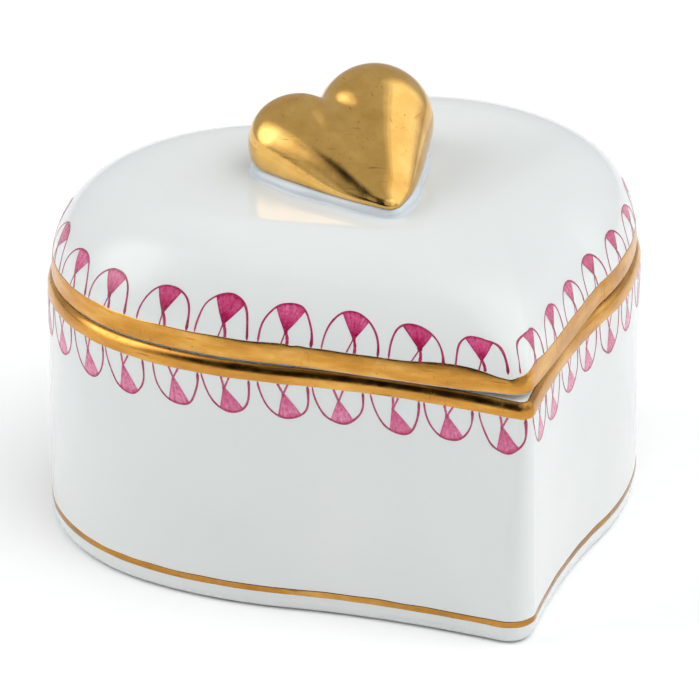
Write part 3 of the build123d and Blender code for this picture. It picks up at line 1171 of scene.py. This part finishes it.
def pad_profile(foot, top):
    """The bead's section from its top out and down to the lid: (distance out, height)."""
    profile = []
    spring = foot + PAD_FILLET_RISE
    for angle in quarter(7):
        profile.append((PAD_BEAD * sin(angle) - PAD_TUCK, spring + (top - spring) * cos(angle)))
    for angle in quarter(4)[1:]:
        out = PAD_BEAD - PAD_TUCK + PAD_FILLET * (1 - cos(angle))
        profile.append((out, foot + PAD_FILLET_RISE * (1 - sin(angle))))
    return profile


def knob_pad():
    """The white slip that the knob is stuck down with, squeezed out in a soft bead."""
    angles = np.linspace(0, 2 * pi, PAD_POINTS, endpoint=False)
    directions = np.column_stack((np.cos(angles), np.sin(angles), np.zeros(PAD_POINTS)))
    centre = np.array((KNOB_CENTRE[0], KNOB_CENTRE[1], KNOB_BOTTOM + PAD_OUTLINE_RISE))
    waves = sum(
        rng.normal(0, 0.06) * np.cos(k * angles + rng.uniform(0, 2 * pi)) for k in range(2, 9)
    )
    spread = reach(centre, directions) + waves
    top, foot = KNOB_BOTTOM + PAD_INTO_KNOB, LID_TOP - PAINT_ROOM - PAD_INTO_LID
    rings = []
    for out, height in reversed(pad_profile(foot, top)):
        rings.append(ring((centre + directions * (spread + out)[:, None])[:, :2], height))
    points, faces = skin_from_rings(rings, None, (centre[0], centre[1], top))
    make_piece("knob_slip_pad", points, faces, SHADED_SLIP, "lid", ("knob_pad",))


# ---- Stage ----


def make_floor():
    """A plain pale floor under the box."""
    bpy.ops.mesh.primitive_plane_add(size=6.0, location=(0, 0, 0))
    floor = bpy.context.object
    floor.name = "floor"
    floor.data.materials.append(pale_floor())


# Each layer of a softbox: (size, share of the light). The layers stand a little apart.
SOFTBOX_LAYERS = ((0.62, 0.40), (0.85, 0.35), (1.1, 0.25))
SOFTBOX_DISTANCE = 0.85
SOFTBOX_LAYER_GAP = 0.01
LIGHT_AIM = Vector((0, 0, 0.03))


def stand_off(name, data, aim, direction, distance):
    """A light or camera that stands off from its aim in a direction and faces it."""
    thing = bpy.data.objects.new(name, data)
    thing.location = aim + direction * distance
    thing.rotation_euler = direction.to_track_quat("Z", "Y").to_euler()
    bpy.context.scene.collection.objects.link(thing)
    return thing


def softbox(name, direction, distance, width, height, radiance, shape):
    """An area light that faces the box from a distance."""
    data = bpy.data.lights.new(name, "AREA")
    data.shape = shape
    data.size = width
    data.size_y = height
    data.energy = radiance * pi * width * height
    return stand_off(name, data, LIGHT_AIM, direction, distance)


def soft_light(name, azimuth, elevation, width, height, radiance, shape, flagged=False):
    """A softbox that is brightest in the middle, made of layers of falling brightness.

    A flagged one has its middle kept out of reflections, as a flag on a stand does.
    """
    last = len(SOFTBOX_LAYERS) - 1
    direction = towards(azimuth, elevation)
    for layer, (scale, share) in enumerate(SOFTBOX_LAYERS):
        distance = SOFTBOX_DISTANCE + SOFTBOX_LAYER_GAP * layer
        size = (width * scale, height * scale)
        light = softbox(f"{name}_{layer}", direction, distance, *size, radiance * share, shape)
        light.visible_glossy = layer == last or not flagged


STUDIO_TONE = (0.96, 0.985, 1.0, 1.0)
STUDIO_LIGHT = 0.57
DARK_CORNER = (-50, 38)
DARK_CORNER_SPREAD = (35, 44)
DARK_CORNER_LIGHT = 0.0


def make_studio():
    """Pale surroundings with one unlit corner, which the gold shows as dark strips."""
    world = bpy.data.worlds.new("studio")
    world.use_nodes = True
    tree = world.node_tree
    direction = tree.nodes.new("ShaderNodeTexCoord").outputs["Generated"]
    nearness = tree.nodes.new("ShaderNodeVectorMath")
    nearness.operation = "DOT_PRODUCT"
    nearness.inputs[1].default_value = towards(*DARK_CORNER)
    edge = tree.nodes.new("ShaderNodeMapRange")
    edge.inputs["From Min"].default_value = cos(radians(DARK_CORNER_SPREAD[1]))
    edge.inputs["From Max"].default_value = cos(radians(DARK_CORNER_SPREAD[0]))
    edge.inputs["To Min"].default_value = STUDIO_LIGHT
    edge.inputs["To Max"].default_value = DARK_CORNER_LIGHT
    background = tree.nodes["Background"]
    background.inputs["Color"].default_value = STUDIO_TONE
    tree.links.new(direction, nearness.inputs[0])
    tree.links.new(nearness.outputs["Value"], edge.inputs["Value"])
    tree.links.new(edge.outputs["Result"], background.inputs["Strength"])
    bpy.context.scene.world = world


def make_lights():
    """The studio, with a softbox on either side and one in front, above."""
    make_studio()
    soft_light("right_softbox", 79, 40, 0.95, 1.45, 0.92, "RECTANGLE")
    soft_light("left_softbox", -116, 31, 0.80, 1.10, 1.85, "ELLIPSE")
    soft_light("front_softbox", 0, 54, 1.10, 0.90, 1.9, "ELLIPSE", flagged=True)


CAMERA_AZIMUTH = -25.84
CAMERA_ELEVATION = 24.17
CAMERA_DISTANCE = 0.632
CAMERA_LENS = 302.3
CAMERA_SENSOR = 36.0
CAMERA_AIM = Vector((-3.06, 2.64, 20.32)) * MM


def make_camera():
    """The camera at the photograph's viewing angle."""
    data = bpy.data.cameras.new("camera")
    data.lens = CAMERA_LENS
    data.sensor_width = CAMERA_SENSOR
    back = towards(CAMERA_AZIMUTH, CAMERA_ELEVATION)
    bpy.context.scene.camera = stand_off("camera", data, CAMERA_AIM, back, CAMERA_DISTANCE)


# ---- Build ----

make_camera()
make_lights()
make_floor()
bpy.context.scene.view_settings.view_transform = "Standard"

porcelain_base()
porcelain_lid()
base_rim_gilding()
foot_line()
lid_rim_gilding()
gilded_knob()
knob_pad()
painted_border(
    "painted_lid_scallops", "lid", lid_ring, LID_GILDING_TOP, LID_TOP - 2.0, LID_STYLE
)
painted_border(
    "painted_base_scallops", "base", base_ring, RIM_GILDING_BOTTOM, FOOT_LINE_TOP + 5, BASE_STYLE
)
